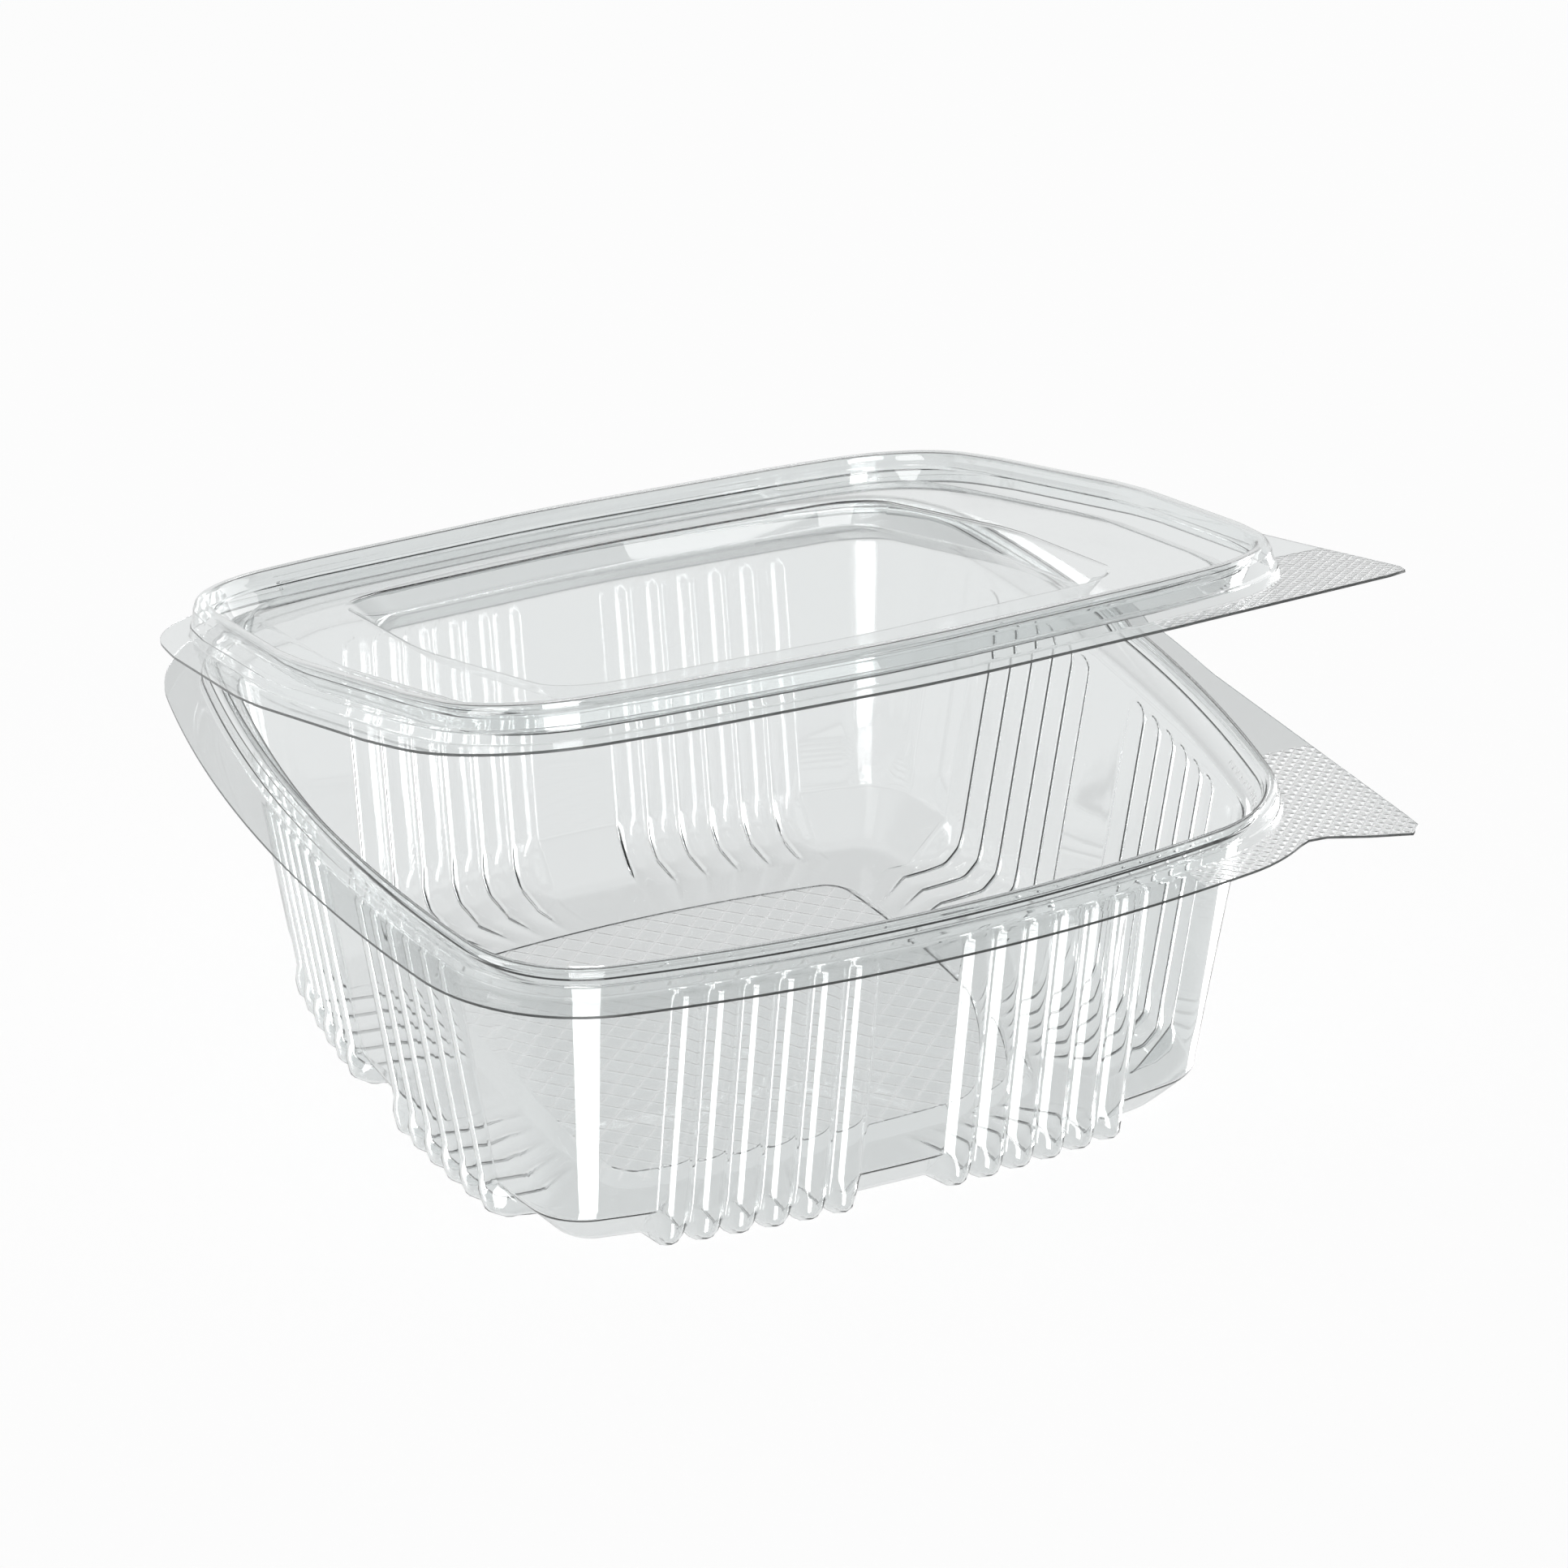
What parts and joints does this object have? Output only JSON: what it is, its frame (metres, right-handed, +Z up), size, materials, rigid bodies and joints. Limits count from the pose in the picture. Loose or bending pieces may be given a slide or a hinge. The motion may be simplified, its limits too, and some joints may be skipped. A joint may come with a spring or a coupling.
{
  "type": "plastic clamshell pack",
  "caption": "Clear square food pack with a fluted tub, a hollow bead round the rim, and a hinged lid with a sunk window; lid ajar.",
  "frame": {"origin": "middle of the tub's standing plane", "axes": "+Z up, -Y towards the front, +Y towards the fold of the lid, +X along the front towards the finger tabs"},
  "size_m": [0.1694, 0.1705, 0.1038],
  "materials": {
    "tub": "clear gloss",
    "lid": "clear gloss"
  },
  "bodies": {
    "tub": {"tub": "tub"},
    "lid": {"lid": "lid"}
  },
  "joints": [
    {"name": "lid_hinge", "type": "hinge", "parent": "tub", "child": "lid", "pos_m": [0, 0.0874, 0.05507], "axis": [-1, 0, 0], "range_deg": [-15, 165], "stiffness_Nm_per_rad": 0.15, "springref_deg": 6.02}
  ]
}
